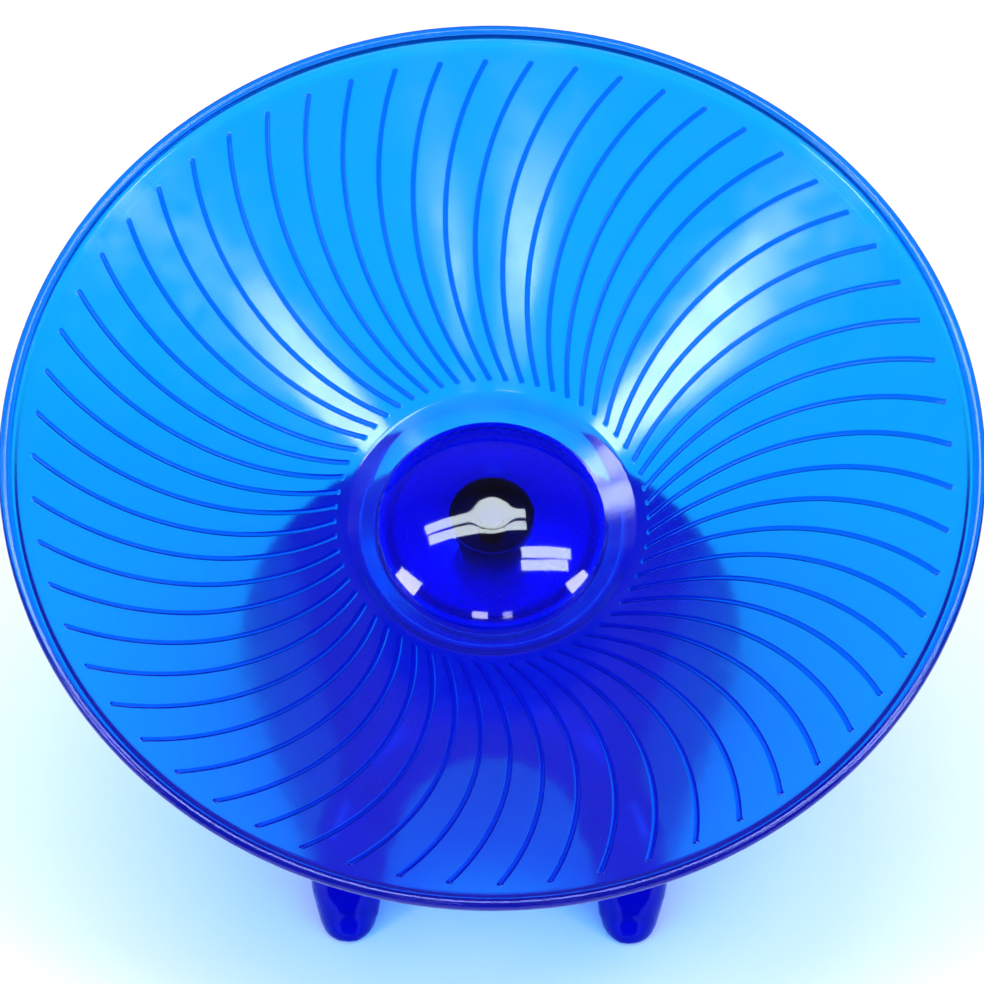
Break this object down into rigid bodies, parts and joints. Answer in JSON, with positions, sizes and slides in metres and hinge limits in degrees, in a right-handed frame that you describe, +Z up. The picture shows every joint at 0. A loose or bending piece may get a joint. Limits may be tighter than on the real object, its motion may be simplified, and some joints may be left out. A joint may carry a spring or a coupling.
{
  "type": "pet exercise saucer wheel",
  "caption": "Tilted spinning saucer with swirl ribs on a vaulted four-foot stand, clear blue plastic, for a hamster to run on.",
  "frame": {"origin": "on the floor, straight below the centre of the saucer's rim", "axes": "+X to the right of someone facing the low edge of the saucer, -Y towards the low front edge, +Z up"},
  "size_m": [0.19, 0.165, 0.1462],
  "materials": {
    "clear_blue_plastic": "glossy, translucent",
    "deep_blue_plastic": "glossy, translucent",
    "steel": "ground",
    "spring_steel": "satin",
    "seal_rubber": "matt"
  },
  "bodies": {
    "stand": {"stand": "deep_blue_plastic", "front_outer_ring": "steel", "rear_outer_ring": "steel", "front_seal": "seal_rubber", "rear_seal": "seal_rubber"},
    "saucer": {"saucer": "clear_blue_plastic", "hub_cap": "deep_blue_plastic", "axle": "steel", "spacer_sleeve": "steel", "washer": "steel", "retaining_clip": "spring_steel", "front_inner_ring": "steel", "rear_inner_ring": "steel"},
    "ball_trains": {"front_ball_train": "steel", "rear_ball_train": "steel"}
  },
  "joints": [
    {"name": "saucer_spin", "type": "hinge", "parent": "stand", "child": "saucer", "pos_m": [0, 0, 0.098], "axis": [0, -0.5, 0.866], "continuous": true},
    {"name": "ball_orbit", "type": "hinge", "parent": "stand", "child": "ball_trains", "pos_m": [0, 0, 0.098], "axis": [0, -0.5, 0.866], "continuous": true}
  ],
  "couplings": [
    {"joint": "ball_orbit", "follows": "saucer_spin", "ratio": 0.3677}
  ]
}
